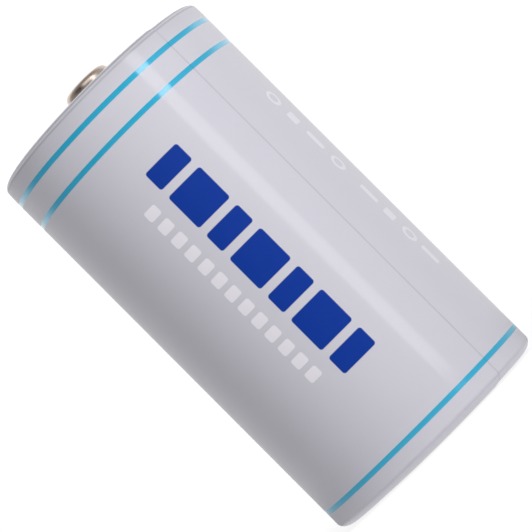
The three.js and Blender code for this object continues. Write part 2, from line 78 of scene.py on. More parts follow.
# ---- Outlines and shells ----
# An outline is a list of (radius, height), and a shell is a closed shape as (points, faces).


def at_angle(angle, radius, z):
    """The point at a radius and a height. The angle is counted from -Y towards +X."""
    return radius * math.sin(angle), -radius * math.cos(angle), z


def arc(centre, reach, rise, start, end, pieces):
    """Points of a quarter ellipse, from one angle to the other in degrees."""
    points = []
    for k in range(pieces + 1):
        a = math.radians(start + (end - start) * k / pieces)
        points.append((centre[0] + reach * math.cos(a), centre[1] + rise * math.sin(a)))
    return points


def spread(start, end, pieces):
    """Values from start towards end, without the last."""
    return [start + (end - start) * k / pieces for k in range(pieces)]


def rounded(outline, radius, pieces=3, closed=False):
    """An outline with each corner rounded off, by at most radius and half of its shorter side."""
    points = [Vector(p) for p in outline]
    count = len(points)
    result = []
    for i, point in enumerate(points):
        if not closed and i in (0, count - 1):
            result.append(point)
            continue
        before, after = points[i - 1], points[(i + 1) % count]
        reach = min(radius, (before - point).length * 0.45, (after - point).length * 0.45)
        start = point + (before - point).normalized() * reach
        end = point + (after - point).normalized() * reach
        for k in range(pieces + 1):
            t = k / pieces
            result.append(start * (1 - t) ** 2 + point * (2 * t * (1 - t)) + end * t**2)
    return result


def joined(count, n, wrap=False, closed=True):
    """Faces between count sections of n points each. wrap joins the last section to the first,
    and closed joins the last point of each section to its first."""
    faces = []
    for i in range(count if wrap else count - 1):
        for k in range(n if closed else n - 1):
            a, b = i * n + k, i * n + (k + 1) % n
            faces.append((a, (a + n) % (count * n), (b + n) % (count * n), b))
    return faces


def lathe(profile, steps=96, radius=0.05, pieces=3, shape=None):
    """A turned shell. A profile whose first and last points are on the axis is a solid cap; any
    other closes on itself. shape(angle, r, z) may bend it out of round."""
    capped = profile[0][0] == 0 and profile[-1][0] == 0
    section = rounded(profile, radius, pieces, closed=not capped)
    points = []
    for i in range(steps):
        angle = 2 * math.pi * i / steps
        for r, z in section:
            if shape:
                r, z = shape(angle, r, z)
            points.append(at_angle(angle, r, z))
    return points, joined(steps, len(section), wrap=True, closed=not capped)


def flat_ring(inner, outer, low, high, **settings):
    """A flat ring, or a disc where the inner radius is 0."""
    return lathe([(inner, low), (outer, low), (outer, high), (inner, high)], **settings)


def ring_of(node, inner, radius=0.05, steps=96, shape=None):
    """A flat ring or disc that fills a CAD node's box."""
    low, high, outer = extent(node)
    return flat_ring(inner, outer, low, high, radius=radius, steps=steps, shape=shape)


def sharp_lathe(profile, x, y, steps=32):
    """A turned shell with sharp corners, on an axis of its own, to cut with."""
    points, faces = lathe(profile, steps, 0.0001, 1)
    return [Vector(p) + Vector((x, y, 0)) for p in points], faces


def drill(x, y, radius, low, high):
    return sharp_lathe([(0, low), (radius, low), (radius, high), (0, high)], x, y)


def slab(low, high, bevel=0.05, segments=2):
    """A box with bevelled edges."""
    low, high = Vector(low), Vector(high)
    work = bmesh.new()
    bmesh.ops.create_cube(work, size=1)
    for vertex in work.verts:
        vertex.co = (low + high) / 2 + vertex.co * (high - low)
    bmesh.ops.bevel(work, geom=work.edges[:], offset=bevel, segments=segments, affect="EDGES")
    work.verts.index_update()
    shell = [v.co.copy() for v in work.verts], [[v.index for v in f.verts] for f in work.faces]
    work.free()
    return shell


def slab_at(x, y, low, high, length, width, bevel=0.05):
    return slab((x - length / 2, y - width / 2, low), (x + length / 2, y + width / 2, high), bevel)


def sweep(path, section, normals):
    """A shell swept along a path. section is in (along the normal, across it)."""
    points = []
    last, n = len(path) - 1, len(section)
    for i, place in enumerate(path):
        along = path[min(i + 1, last)] - path[max(i - 1, 0)]
        side = along.cross(normals[i]).normalized()
        points += [place + normals[i] * a + side * b for a, b in section]
    ends = [tuple(range(n)), tuple(range(last * n, last * n + n))]
    return points, joined(last + 1, n) + ends


def ribbon(path, thickness, width, bend=0.2):
    """A bent strip. path is its middle line in (x, z), and it is extruded along Y."""
    line = [Vector((x, 0, z)) for x, z in rounded(path, bend, 5)]
    normals = []
    for i in range(len(line)):
        along = line[min(i + 1, len(line) - 1)] - line[max(i - 1, 0)]
        normals.append(Vector((0, 1, 0)).cross(along).normalized())
    t, w = thickness / 2, width / 2
    c = t * 0.5
    section = [(t, w - c), (t - c, w), (c - t, w), (-t, w - c)]
    section += [(-a, -b) for a, b in section]
    return sweep(line, section, normals)


def round_places(count, radius):
    """Places spaced evenly on a circle, none of them at the front."""
    for k in range(count):
        x, y, _ = at_angle(2 * math.pi * (k + 0.5) / count, radius, 0)
        yield x, y


def copies_round(shell, count):
    """Copies of a shell spaced evenly round the axis."""
    for k in range(count):
        turn = Matrix.Rotation(2 * math.pi * k / count, 4, "Z")
        yield [turn @ Vector(p) for p in shell[0]], shell[1]


# ---- Meshes and pieces ----


def link(thing):
    bpy.context.scene.collection.objects.link(thing)


class Build:
    """Collects closed shells in millimetres, each with the number of its finish."""

    def __init__(self, *shells):
        self.points, self.faces, self.finishes, self.tools = [], [], [], None
        for shell in shells:
            self.add(shell)

    def add(self, shell, finish=0, place=None):
        points, faces = shell
        start = len(self.points)
        self.points += [place @ Vector(p) if place else Vector(p) for p in points]
        self.faces += [[start + k for k in face] for face in faces]
        self.finishes += [finish] * len(faces)
        return self

    def cut(self, *tools):
        """Has these shells cut out of the others."""
        self.tools = Build(*tools)
        return self

    def mesh(self):
        """The finished mesh, in metres."""
        mesh = self.raw()
        if self.tools:
            mesh = difference(mesh, self.tools.raw())
        mesh.transform(Matrix.Scale(MM, 4))
        return mesh

    def raw(self):
        mesh = bpy.data.meshes.new("shells")
        mesh.from_pydata(self.points, [], self.faces)
        mesh.polygons.foreach_set("material_index", self.finishes)
        work = bmesh.new()
        work.from_mesh(mesh)
        bmesh.ops.remove_doubles(work, verts=work.verts, dist=1e-5)
        bmesh.ops.dissolve_degenerate(work, edges=work.edges, dist=1e-5)
        bmesh.ops.recalc_face_normals(work, faces=work.faces)
        work.to_mesh(mesh)
        work.free()
        return mesh


def difference(mesh, tool):
    """One mesh with another cut out of it."""
    body = bpy.data.objects.new("being_cut", mesh)
    cutter = bpy.data.objects.new("cutter", tool)
    link(body)
    link(cutter)
    boolean = body.modifiers.new("cut", "BOOLEAN")
    boolean.object, boolean.operation, boolean.solver = cutter, "DIFFERENCE", "EXACT"
    depsgraph = bpy.context.evaluated_depsgraph_get()
    made = bpy.data.meshes.new_from_object(body.evaluated_get(depsgraph))
    for thing in (body, cutter):
        bpy.data.objects.remove(thing)
    return made


def mesh_from(points, faces):
    """A mesh in metres with its points in the order given."""
    mesh = bpy.data.meshes.new("sheet")
    mesh.from_pydata([Vector(p) * MM for p in points], [], faces)
    mesh.update()
    return mesh


def place_mesh(node, slot, mesh, *finishes, smooth_angle=35, name=None):
    """Links a mesh as the piece that stands for a CAD node."""
    mesh.shade_smooth()
    mesh.set_sharp_from_angle(angle=math.radians(smooth_angle))
    for finish in finishes:
        mesh.materials.append(finish)
    made = bpy.data.objects.new(name or node + "_detail", mesh)
    mesh.name = made.name
    link(made)
    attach(made, "root")
    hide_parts(node)


def place_piece(node, slot, shape, *finishes, **settings):
    """Links a shell or a build as the piece that stands for a CAD node."""
    build = shape if isinstance(shape, Build) else Build(shape)
    place_mesh(node, slot, build.mesh(), *finishes, **settings)


def piece(node, slot, *finishes, **settings):
    """A decorator that places what its function makes as the piece for a CAD node. The function
    is given the node's lowest and highest heights and its outer radius."""

    def place(make):
        place_piece(node, slot, make(*extent(node)), *finishes, **settings)
        return make

    return place


# ---- Node trees ----


class Nodes:
    """A node tree, built by calls. An input is a number, a colour or another node's output."""

    def __init__(self, tree):
        self.nodes, self.links = tree.nodes, tree.links

    def feed(self, socket, value):
        if isinstance(value, bpy.types.NodeSocket):
            self.links.new(value, socket)
        elif hasattr(socket.default_value, "__len__") and len(value) == 3:
            wide = len(socket.default_value) == 4
            socket.default_value = (*value, 1.0) if wide else value
        else:
            socket.default_value = value

    def node(self, kind, inputs=None, **settings):
        made = self.nodes.new(kind)
        for key, value in settings.items():
            setattr(made, key, value)
        for key, value in (inputs or {}).items():
            self.feed(made.inputs[key], value)
        return made

    def math(self, operation, first, second=0.0, third=0.0):
        made = self.node("ShaderNodeMath", operation=operation)
        for socket, value in zip(made.inputs, (first, second, third)):
            self.feed(socket, value)
        return made.outputs[0]

    def minus(self, first, second):
        return self.math("SUBTRACT", first, second)

    def times(self, first, second):
        return self.math("MULTIPLY", first, second)

    def larger(self, first, second):
        return self.math("MAXIMUM", first, second)

    def size(self, value):
        return self.math("ABSOLUTE", value)

    def length(self, x, y):
        return self.math("SQRT", self.math("ADD", self.times(x, x), self.times(y, y)))

    def remap(self, value, low, high, to_low=0.0, to_high=1.0, smooth=True):
        kind = "SMOOTHSTEP" if smooth else "LINEAR"
        made = self.node("ShaderNodeMapRange", interpolation_type=kind)
        for socket, given in zip(made.inputs, (value, low, high, to_low, to_high)):
            self.feed(socket, given)
        return made.outputs[0]

    def split(self, vector):
        return self.node("ShaderNodeSeparateXYZ", {"Vector": vector}).outputs


class Shader(Nodes):
    """A material's node tree."""

    def __init__(self, name):
        self.material = bpy.data.materials.new(name)
        self.material.use_nodes = True
        super().__init__(self.material.node_tree)
        self.surface = self.nodes["Principled BSDF"]

    def set(self, **inputs):
        """Sets the shader's own inputs, by their names with _ for a space."""
        for key, value in inputs.items():
            name = key.replace("_", " ").title().replace("Ior", "IOR")
            self.feed(self.surface.inputs[name], value)

    def mix(self, factor, first, second):
        made = self.node("ShaderNodeMix", data_type="RGBA")
        for key, value in (("Factor_Float", factor), ("A_Color", first), ("B_Color", second)):
            socket = next(s for s in made.inputs if s.identifier == key)
            self.feed(socket, value)
        return next(s for s in made.outputs if s.identifier == "Result_Color")

    def scale(self, colour, factor):
        inputs = {0: colour, "Scale": factor}
        return self.node("ShaderNodeVectorMath", inputs, operation="SCALE").outputs[0]

    def noise(self, scale, detail=2.0, roughness=0.5, vector=None):
        inputs = {"Scale": scale, "Detail": detail, "Roughness": roughness}
        inputs["Vector"] = vector or self.object_place()
        return self.node("ShaderNodeTexNoise", inputs).outputs["Fac"]

    def cells(self, scale):
        """How far a place is from the nearest of many scattered points."""
        inputs = {"Vector": self.object_place(), "Scale": scale}
        return self.node("ShaderNodeTexVoronoi", inputs).outputs["Distance"]

    def object_place(self):
        return self.node("ShaderNodeTexCoord").outputs["Object"]

    def stretched(self, scale):
        """The place on the object, scaled by a different amount along each axis."""
        made = self.node("ShaderNodeMapping", {"Vector": self.object_place(), "Scale": scale})
        return made.outputs["Vector"]

    def bump(self, height, distance, strength, normal=None):
        """distance is the height's full scale in metres."""
        inputs = {"Height": height, "Distance": distance, "Strength": strength}
        if normal is not None:
            inputs["Normal"] = normal
        return self.node("ShaderNodeBump", inputs).outputs["Normal"]


def toned(colour, factor):
    """The colour, darker or lighter by a factor."""
    return [c * factor for c in colour]


# ---- The printed film ----

FILM_LOW, FILM_HIGH, CELL_RADIUS = extent("label_film")
FILM_BOTTOM, FILM_TOP = FILM_LOW + 0.14, FILM_HIGH - 0.14
LIP_RADIUS = 10.9  # how far the film's lips reach in
OVERLAP_START, OVERLAP_END = 30, 39.7  # degrees: the hidden end of the film, and the edge that shows
FILM = 0.08
LAYER = FILM + 0.01  # a layer, and the air under it
LAYER_EASE = 60  # degrees over which a layer comes up from under the overlap, or climbs onto it
LOW_CORNER = (CELL_RADIUS - 1.5, FILM_BOTTOM + 1.0)  # centres of the bends at the two ends
HIGH_CORNER = (CELL_RADIUS - 1.3, FILM_TOP - 0.72)
TAPER, TAPER_LENGTH = 0.04, 1.4  # the can narrows a little to its shoulder
CREASE = 0.02  # depth of the fold above the shoulder, where the film meets the washer
CREASE_STEPS = (4, 5)  # the fold's place among the points of the upper bend
FREE_EDGE_SHRINK = 5.0  # degrees that the free edge has drawn back at its lips
LIP_WAVE, LIP_SINK = 0.09, 0.02
FILM_STEPS = 480
PRINT_UNIT = 100.0  # millimetres in one unit of the print's map

RING_HEIGHTS = (2.7, 42.0, 45.0)
RING_WIDTH = 0.54
BLOCKS_BOTTOM, BLOCKS_TOP = 11.1, 37.7
BLOCK_NARROW, BLOCK_WIDE, BLOCK_GAP, BLOCK_HEIGHT = 2.2, 4.12, 0.9, 4.2
BLOCK_CORNER = 0.3
DASH_BOTTOM, DASH_TOP, DASH_PERIOD, DASH_OFFSET = 13.2, 34.56, 1.78, -4.25
MARK_OFFSET = 15.0
MARKS = (
    (34.7, "ring"),
    (32.0, "square"),
    (29.0, "bar"),
    (25.9, "ring"),
    (21.7, "bar"),
    (18.9, "square"),
    (16.2, "ring"),
    (13.4, "bar"),
)
FILM_COLOUR = (0.62, 0.612, 0.678)
PALE_INK = (0.88, 0.85, 0.92)
BLUE_INK = (0.0, 0.036, 0.32)
RING_INK = (0.0, 0.44, 0.70)
EDGE_LINE, EDGE_SHADE = 0.17, 0.28
PRINT_SOFT = 0.05  # half the width over which a printed edge fades
# height, half width and depth of each band of shade round the folds
FOLDS = (
    (FILM_TOP - 0.6, 0.28, 0.38),
    (FILM_TOP - 0.12, 0.5, 0.55),
    (FILM_TOP, 3.2, 0.11),
    (FILM_BOTTOM + 0.62, 0.2, 0.08),
)
FILM_COAT = 0.22


def film_path():
    """The film's outside as (radius, height), from its lower lip to its upper one."""
    path = [(r, FILM_BOTTOM) for r in spread(LIP_RADIUS, LOW_CORNER[0], 5)]
    path += arc(LOW_CORNER, CELL_RADIUS - LOW_CORNER[0], LOW_CORNER[1] - FILM_BOTTOM, -90, 0, 12)
    taper_start = HIGH_CORNER[1] - TAPER_LENGTH
    path += [(CELL_RADIUS, z) for z in spread(LOW_CORNER[1], taper_start, 8)[1:]]
    path += [(CELL_RADIUS - TAPER * t * t, taper_start + TAPER_LENGTH * t) for t in spread(0, 1, 6)]
    reach, rise = CELL_RADIUS - TAPER - HIGH_CORNER[0], FILM_TOP - HIGH_CORNER[1]
    bend = arc(HIGH_CORNER, reach, rise, 0, 90, 18)
    for k in CREASE_STEPS:
        bend[k] = (bend[k][0] - CREASE, bend[k][1] - CREASE / 2)
    path += bend
    path += [(r, FILM_TOP) for r in spread(HIGH_CORNER[0], LIP_RADIUS, 6)[1:]]
    return path + [(LIP_RADIUS, FILM_TOP)]


def film_section():
    """The closed section: (radius, height, the way the film faces, place along the flat sheet).
    The inside runs back along the outside, one thickness in, so point k pairs with the same
    point from the end."""
    path = [Vector(p) for p in film_path()]
    facing, along = [], [0.0]
    for i, point in enumerate(path):
        step = path[min(i + 1, len(path) - 1)] - path[max(i - 1, 0)]
        facing.append(Vector((step.y, -step.x)).normalized())
        if i:
            along.append(along[-1] + (point - path[i - 1]).length)
    wall = next(i for i, point in enumerate(path) if point.x == CELL_RADIUS)
    sheet = [place - along[wall] + path[wall].y for place in along]  # equals the height on the wall
    outside = [(p.x, p.y, way, q) for p, way, q in zip(path, facing, sheet)]
    inside = [(p.x - FILM * w.x, p.y - FILM * w.y, w, q) for p, w, q in zip(path, facing, sheet)]
    return outside + inside[::-1]


def eased(value):
    t = min(1.0, max(0.0, value))
    return t * t * (3 - 2 * t)


def film_lift(angle):
    """How far the sheet stands off its round: in under the overlap, and out over it."""
    dip = eased((OVERLAP_END + LAYER_EASE - angle) / LAYER_EASE)
    climb = eased((angle - 360 - OVERLAP_START + LAYER_EASE) / LAYER_EASE)
    return (climb - dip) * LAYER / 2


def film_mesh():
    """One sheet, wound once round and lapped over its hidden end. The lips pucker a little, and
    the corners of the free edge have shrunk back."""
    section = film_section()
    turn = 360 + OVERLAP_END - OVERLAP_START
    points, prints = [], []
    for i in range(FILM_STEPS + 1):
        across = OVERLAP_START + turn * i / FILM_STEPS
        for r, z, way, sheet_place in section:
            lip = min(1.0, max(0.0, (CELL_RADIUS - r) / (CELL_RADIUS - LIP_RADIUS)))
            angle = across - FREE_EDGE_SHRINK * lip**1.5 * i / FILM_STEPS
            lift = film_lift(angle)
            around = math.radians(angle)
            wave = 0.6 * math.sin(7 * around + 1) + 0.4 * math.sin(16 * around)
            radius = r + lift * way.x + LIP_WAVE * lip**3 * wave
            height = z + lift * way.y - LIP_SINK * way.y * lip**3 * (1 + wave)
            points.append(at_angle(around, radius, height))
            prints.append((math.radians(across) * CELL_RADIUS, sheet_place))
    n = len(section)
    faces = joined(FILM_STEPS + 1, n)
    for start, flip in ((0, False), (FILM_STEPS * n, True)):
        for k in range(n // 2 - 1):
            face = (start + k, start + k + 1, start + n - 2 - k, start + n - 1 - k)
            faces.append(tuple(reversed(face)) if flip else face)
    mesh = mesh_from(points, faces)
    layer = mesh.uv_layers.new(name="print")
    for loop in mesh.loops:
        layer.data[loop.index].uv = [c / PRINT_UNIT for c in prints[loop.vertex_index]]
    return mesh


def soft_box(s, x, y, half_width, half_height, corner):
    """1 inside a box with rounded corners, and 0 outside it."""
    dx = s.larger(s.minus(s.size(x), half_width - corner), 0.0)
    dy = s.larger(s.minus(s.size(y), half_height - corner), 0.0)
    return s.remap(s.length(dx, dy), corner - PRINT_SOFT, corner + PRINT_SOFT, 1.0, 0.0)


def printed_rings(s, height):
    rings = 0.0
    for ring_height in RING_HEIGHTS:
        distance = s.size(s.minus(height, ring_height))
        mask = s.remap(distance, RING_WIDTH / 2 - 0.03, RING_WIDTH / 2 + 0.03, 1.0, 0.0)
        rings = s.larger(rings, mask)
    return rings


def printed_blocks(s, height, front):
    """The front graphic: a row of plain blocks, narrow and wide in turn."""
    run = s.minus(height, BLOCKS_BOTTOM + BLOCK_NARROW / 2)
    half_period = (BLOCK_NARROW + BLOCK_WIDE) / 2 + BLOCK_GAP
    fold = s.math("PINGPONG", run, half_period)
    narrow = soft_box(s, fold, front, BLOCK_NARROW / 2, BLOCK_HEIGHT / 2, BLOCK_CORNER)
    wide_run = s.minus(fold, half_period)
    wide = soft_box(s, wide_run, front, BLOCK_WIDE / 2, BLOCK_HEIGHT / 2, BLOCK_CORNER)
    from_middle = s.size(s.minus(height, (BLOCKS_BOTTOM + BLOCKS_TOP) / 2))
    in_row = s.math("LESS_THAN", from_middle, (BLOCKS_TOP - BLOCKS_BOTTOM) / 2 + 0.2)
    return s.times(s.larger(narrow, wide), in_row)


def printed_dashes(s, height, front):
    """A fine pale line of dashes beside the blocks."""
    run = s.math("PINGPONG", s.minus(height, DASH_BOTTOM), DASH_PERIOD / 2)
    dashes = soft_box(s, run, s.minus(front, DASH_OFFSET), 0.58, 0.75, 0.25)
    from_middle = s.size(s.minus(height, (DASH_TOP + DASH_BOTTOM) / 2))
    in_line = s.math("LESS_THAN", from_middle, (DASH_TOP - DASH_BOTTOM + DASH_PERIOD) / 2)
    return s.times(dashes, in_line)


def printed_marks(s, height, place_round):
    """A faint column of rings, squares and bars past the seam."""
    y = s.minus(place_round, MARK_OFFSET)
    marks = 0.0
    for mark_height, kind in MARKS:
        x = s.minus(height, mark_height)
        if kind == "ring":
            mask = s.remap(s.size(s.minus(s.length(x, y), 0.75)), 0.14, 0.24, 1.0, 0.0)
        elif kind == "square":
            mask = soft_box(s, x, y, 0.7, 0.7, 0.2)
        else:
            mask = soft_box(s, x, y, 1.15, 0.4, 0.2)
        marks = s.larger(marks, mask)
    return marks


def shade_lines(s, height, place_round):
    """Shade beside the sheet's free edge, and in the folds where it turns over the can's rims."""
    edge_place = math.radians(360 + OVERLAP_END) * CELL_RADIUS
    shade = s.times(s.remap(place_round, edge_place - EDGE_LINE, edge_place), EDGE_SHADE)
    for fold_height, width, depth in FOLDS:
        distance = s.size(s.minus(height, fold_height))
        shade = s.larger(shade, s.remap(distance, 0.0, width, depth, 0.0))
    return shade


def film_material():
    """Pearl film with printed metallic rings and a plain geometric front."""
    s = Shader("printed_film")
    across, along, _ = s.split(s.node("ShaderNodeUVMap", uv_map="print").outputs["UV"])
    place_round = s.times(across, PRINT_UNIT)  # millimetres round the cell, from the front
    height = s.times(along, PRINT_UNIT)  # millimetres up from the negative face
    front = s.minus(place_round, 2 * math.pi * CELL_RADIUS)  # the front shows after a whole turn
    rings = printed_rings(s, height)
    blocks = printed_blocks(s, height, front)
    dashes = printed_dashes(s, height, front)
    marks = printed_marks(s, height, place_round)
    shade = shade_lines(s, height, place_round)

    # faint mottling in the pearl base, with the inks over it
    base = s.mix(s.noise(260, 3, 0.6), FILM_COLOUR, toned(FILM_COLOUR, 1.025))
    base = s.mix(s.times(dashes, 0.9), base, PALE_INK)
    base = s.mix(s.times(marks, 0.55), base, PALE_INK)
    base = s.mix(blocks, base, BLUE_INK)
    base = s.mix(rings, base, RING_INK)
    s.set(base_color=s.scale(base, s.minus(1.0, shade)), specular_ior_level=0.15)
    s.set(metallic=s.times(rings, 0.15))
    s.set(roughness=s.remap(s.noise(1500, 3, 0.6), 0.3, 0.7, 0.34, 0.40))
    # shallow waves where the film has shrunk onto the can, and a fine grain
    waves = s.bump(s.noise(1, 2, 0.5, s.stretched((120, 120, 45))), 0.00012, 0.25)
    s.set(normal=s.bump(s.noise(2600, 2, 0.5), 0.000004, 0.5, waves))
    # the rings are a mirror-like foil, and the blue ink is flat
    gloss = s.math("MULTIPLY_ADD", rings, 1.0 - FILM_COAT, FILM_COAT)
    gloss = s.times(gloss, s.math("MULTIPLY_ADD", blocks, -0.7, 1.0))
    s.set(coat_weight=gloss, coat_roughness=0.1, coat_ior=2.0, coat_normal=waves)
    return s.material


place_mesh(
    "label_film", "printed_film", film_mesh(), film_material(), smooth_angle=50, name="film_wrap"
)


# ---- Finishes ----


def nickel_material(name, colour, marks, dullness):
    """Nickel plating with faint turning marks, smudges and fine scratches."""
    s = Shader(name)
    x, y, _ = s.split(s.object_place())
    turning = s.math("SINE", s.times(s.length(x, y), 2 * math.pi / 0.00009))
    smudge = s.noise(350, 4, 0.6)
    scratch = s.noise(1, 3, 0.7, s.stretched((300, 6000, 300)))
    worn = s.remap(scratch, 0.62, 0.72)
    s.set(metallic=1.0)
    s.set(base_color=s.mix(s.remap(smudge, 0.35, 0.75), colour, toned(colour, 0.86)))
    roughness = s.remap(smudge, 0.3, 0.8, 0.13 + dullness, 0.26 + dullness)
    s.set(roughness=s.math("MULTIPLY_ADD", worn, 0.08, roughness))
    s.set(normal=s.bump(scratch, 0.000006, 0.15, s.bump(turning, 0.000002, marks)))
    return s.material


def surface(name, light, dark, scale, roughness, bump, coat=0.0):
    """A finish that wanders between two colours and two roughnesses. bump is (scale, depth in
    metres)."""
    s = Shader(name)
    mottle = s.noise(scale, 4, 0.6)
    s.set(base_color=s.mix(s.remap(mottle, 0.3, 0.7), light, dark))
    s.set(roughness=s.remap(mottle, 0.25, 0.75, *roughness), coat_weight=coat, coat_roughness=0.15)
    s.set(normal=s.bump(s.noise(bump[0], 3, 0.6), bump[1], 0.5))
    return s.material


def plastic(name, light, dark, gloss=0.0):
    return surface(name, light, dark, 500, (0.38, 0.5), (4200, 0.00001), gloss)


def fibre_paper(name, light, dark):
    """Pressed board with long pale fibres."""
    s = Shader(name)
    fibres = s.noise(1, 4, 0.7, s.stretched((900, 9000, 3000)))
    crossed = s.noise(1, 4, 0.7, s.stretched((9000, 900, 3000)))
    both = s.larger(fibres, crossed)
    s.set(base_color=s.mix(s.remap(both, 0.5, 0.75), dark, light))
    s.set(roughness=s.remap(both, 0.4, 0.8, 0.75, 0.92), normal=s.bump(both, 0.00002, 0.6))
    return s.material


def open_foam(name, colour):
    s = Shader(name)
    # each pore is a hollow: the same map sinks it in the bump and darkens it with painted shade
    depth = s.remap(s.cells(3200.0), 0.0, 0.6)
    s.set(base_color=s.mix(depth, toned(colour, 0.35), colour), roughness=0.95)
    s.set(normal=s.bump(depth, 0.00015, 0.9))
    return s.material


def sheet_metal(name, colour, stretch=(400, 9000, 400), roughness=(0.22, 0.36)):
    """Rolled or drawn metal, with fine lines along it."""
    s = Shader(name)
    lines = s.noise(1, 4, 0.7, s.stretched(stretch))
    stain = s.noise(420, 3, 0.6)
    s.set(base_color=s.mix(s.remap(stain, 0.3, 0.8), colour, toned(colour, 0.82)))
    s.set(metallic=1.0, roughness=s.remap(lines, 0.3, 0.7, *roughness))
    s.set(normal=s.bump(lines, 0.000006, 0.4))
    return s.material


def board_finish():
    """Green solder mask over a glass weave, with tinned rings where the terminal and the ground
    ring are soldered, and traces that show through the mask."""
    low, high, _ = extent("regulator_board")
    thread = 2 * math.pi / 0.0006
    s = Shader("solder_mask")
    x, y, z = s.split(s.object_place())
    radius = s.length(x, y)
    weave = s.times(s.math("SINE", s.times(x, thread)), s.math("SINE", s.times(y, thread)))
    # traces run one way or the other, by area
    slanted = s.math("PINGPONG", s.math("MULTIPLY_ADD", y, 0.5, x), 0.0005)
    crossing = s.math("PINGPONG", s.minus(y, s.times(x, 0.12)), 0.0008)
    area = s.math("GREATER_THAN", s.noise(170, 1, 0.3), 0.5)
    trace = s.remap(s.remap(area, 0.0, 1.0, slanted, crossing, smooth=False), 0.00032, 0.00036)
    via = s.remap(s.cells(420.0), 0.10, 0.13, 1.0, 0.0)
    green = s.mix(trace, (0.012, 0.11, 0.045), (0.03, 0.20, 0.08))
    green = s.mix(s.remap(weave, 0.2, 1.0, 0.0, 0.2), green, (0.05, 0.22, 0.10))
    green = s.mix(s.times(via, 0.8), green, (0.30, 0.33, 0.20))
    ground = s.times(s.remap(radius, 0.0103, 0.01035), s.math("LESS_THAN", z, (low + 0.1) * MM))
    pad = s.times(s.remap(radius, 0.0041, 0.00405), s.math("GREATER_THAN", z, (high - 0.1) * MM))
    tinned = s.larger(ground, pad)
    solder = s.noise(1800, 3, 0.6)
    s.set(base_color=s.mix(tinned, green, (0.72, 0.72, 0.70)), metallic=tinned)
    s.set(roughness=s.remap(solder, 0.3, 0.7, 0.28, 0.42), coat_weight=0.4, coat_roughness=0.15)
    s.set(normal=s.bump(s.math("MULTIPLY_ADD", weave, 0.12, trace), 0.00002, 0.5))
    return s.material


def enamelled_copper():
    s = Shader("enamelled_copper")
    tone = s.noise(2500, 3, 0.6)
    s.set(base_color=s.mix(tone, (0.62, 0.24, 0.09), (0.76, 0.36, 0.16)), metallic=1.0)
    s.set(roughness=s.remap(tone, 0.3, 0.7, 0.2, 0.32), coat_weight=0.8, coat_roughness=0.08)
    return s.material


NICKEL = nickel_material("nickel_plating", (0.80, 0.755, 0.70), 0.06, 0.0)
TERMINAL_NICKEL = nickel_material("terminal_plating", (0.84, 0.70, 0.61), 0.1, 0.12)
STEEL = sheet_metal("drawn_steel", (0.66, 0.64, 0.61), (2500, 2500, 300))
STRIP_NICKEL = sheet_metal("rolled_nickel", (0.70, 0.69, 0.66))
ALUMINIUM = sheet_metal("aluminium_sheet", (0.80, 0.81, 0.82))
TIN = sheet_metal("tinned_copper", (0.76, 0.76, 0.75), (3000, 3000, 3000), (0.25, 0.45))
CAP_WHITE = plastic("cap_white", (0.70, 0.70, 0.68), (0.64, 0.64, 0.615), 0.1)
CARRIER_BLACK = plastic("carrier_black", (0.022, 0.022, 0.024), (0.03, 0.03, 0.032))
NYLON = plastic("seal_nylon", (0.68, 0.65, 0.54), (0.60, 0.56, 0.45), 0.2)
SLEEVE_BLUE = plastic("sleeve_blue", (0.03, 0.13, 0.36), (0.025, 0.11, 0.31), 0.7)
PAPER = fibre_paper("fish_paper", (0.74, 0.77, 0.70), (0.60, 0.64, 0.56))
FOAM = open_foam("foam_grey", (0.07, 0.07, 0.075))
BOARD = board_finish()
COPPER = enamelled_copper()

# light and dark colour, scale of the mottling, roughness, and scale and depth of the grain
FERRITE = surface(
    "ferrite", (0.05, 0.047, 0.048), (0.034, 0.032, 0.033), 2600, (0.5, 0.68), (7000, 2e-5)
)
EPOXY = surface(
    "chip_epoxy", (0.018, 0.018, 0.019), (0.011, 0.011, 0.012), 6000, (0.4, 0.55), (14000, 8e-6)
)
CERAMIC = surface(
    "capacitor_ceramic", (0.46, 0.34, 0.21), (0.38, 0.27, 0.16), 2200, (0.35, 0.5), (9000, 5e-6)
)
GLAZE = surface(
    "resistor_glaze", (0.016, 0.016, 0.02), (0.025, 0.025, 0.03), 2500, (0.22, 0.35), (5000, 5e-6)
)
ALUMINA = surface(
    "alumina", (0.84, 0.84, 0.82), (0.76, 0.76, 0.74), 2500, (0.5, 0.65), (9000, 5e-6)
)
PTC = surface(
    "ptc_polymer", (0.06, 0.065, 0.066), (0.045, 0.05, 0.05), 1500, (0.6, 0.78), (5000, 2e-5)
)
SEPARATOR = surface(
    "separator_film", (0.88, 0.88, 0.86), (0.82, 0.82, 0.80), 900, (0.5, 0.6), (5200, 5e-6)
)
CATHODE = surface(
    "cathode_coating", (0.028, 0.029, 0.033), (0.02, 0.02, 0.023), 3000, (0.8, 0.92), (9000, 1e-5)
)
ANODE = surface(
    "anode_coating", (0.085, 0.058, 0.045), (0.05, 0.038, 0.032), 3000, (0.65, 0.82), (9000, 1e-5)
)


# ---- Outer can and positive end ----


@piece("outer_can", "nickel_plated_steel", NICKEL, name="steel_can")
def can(_, top, outer):
    """Drawn can: a contact boss on its floor, rounded edges, and a lip crimped inwards."""
    wall, boss, lip = 0.3, 0.36, 11.0  # boss is how far the contact face stands out
    inner = outer - wall
    foot, shoulder = (11.7, 1.25), (12.0, 46.45)  # centres of the rounded edges
    profile = [(0, 0), (8.6, 0), (9.0, boss)]
    profile += arc(foot, outer - foot[0], foot[1] - boss, -90, 0, 8)
    profile += arc(shoulder, outer - shoulder[0], top - shoulder[1], 0, 90, 8)
    profile += [(lip, top), (lip, top - wall)]
    profile += arc(shoulder, inner - shoulder[0], top - wall - shoulder[1], 90, 0, 5)
    profile += arc(foot, inner - foot[0], foot[1] - boss - wall, 0, -90, 5)
    profile += [(9.15, boss + wall), (8.75, wall), (0, wall)]
    return lathe(profile, 160, 0.12, 4)


